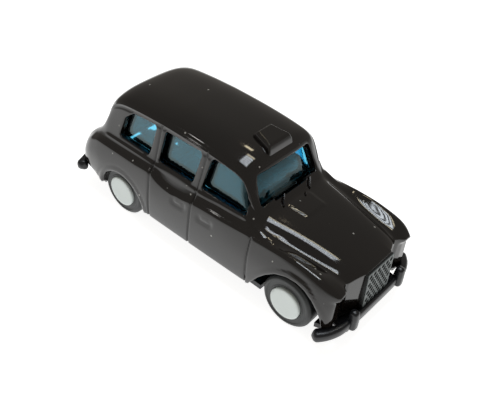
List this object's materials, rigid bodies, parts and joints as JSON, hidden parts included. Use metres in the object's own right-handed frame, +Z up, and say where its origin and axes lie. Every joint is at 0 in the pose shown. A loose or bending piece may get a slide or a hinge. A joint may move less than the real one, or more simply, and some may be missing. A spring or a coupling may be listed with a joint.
{
  "type": "toy taxi cab",
  "caption": "Small die-cast toy taxi cab: hollow black casting, blue window moulding, plastic base with bumpers and two free-rolling wheelsets.",
  "frame": {"origin": "on the ground, under the middle of the overall length and width", "axes": "+X towards the front of the cab, +Y to its left, +Z up"},
  "size_m": [0.0666, 0.0284, 0.0267],
  "materials": {
    "black_paint": "thick glossy black enamel on a zinc casting",
    "blue_clear_plastic": "clear blue tinted moulding, polished",
    "black_plastic": "satin black moulding",
    "axle_steel": "bright drawn wire",
    "tyre_plastic": "semi-gloss black hard plastic",
    "hub_plastic": "pale grey-white printed face, satin"
  },
  "bodies": {
    "cab": {"body_shell": "black_paint", "window_insert": "blue_clear_plastic", "base_plate": "black_plastic"},
    "front_wheelset": {"front_axle": "axle_steel", "front_left_tyre": "tyre_plastic", "front_right_tyre": "tyre_plastic", "front_left_hub": "hub_plastic", "front_right_hub": "hub_plastic"},
    "rear_wheelset": {"rear_axle": "axle_steel", "rear_left_tyre": "tyre_plastic", "rear_right_tyre": "tyre_plastic", "rear_left_hub": "hub_plastic", "rear_right_hub": "hub_plastic"}
  },
  "joints": [
    {"name": "front_wheels_roll", "type": "hinge", "parent": "cab", "child": "front_wheelset", "pos_m": [0.02175, 0, 0.0051], "axis": [0, 1, 0], "continuous": true},
    {"name": "rear_wheels_roll", "type": "hinge", "parent": "cab", "child": "rear_wheelset", "pos_m": [-0.01925, 0, 0.0051], "axis": [0, 1, 0], "continuous": true}
  ]
}
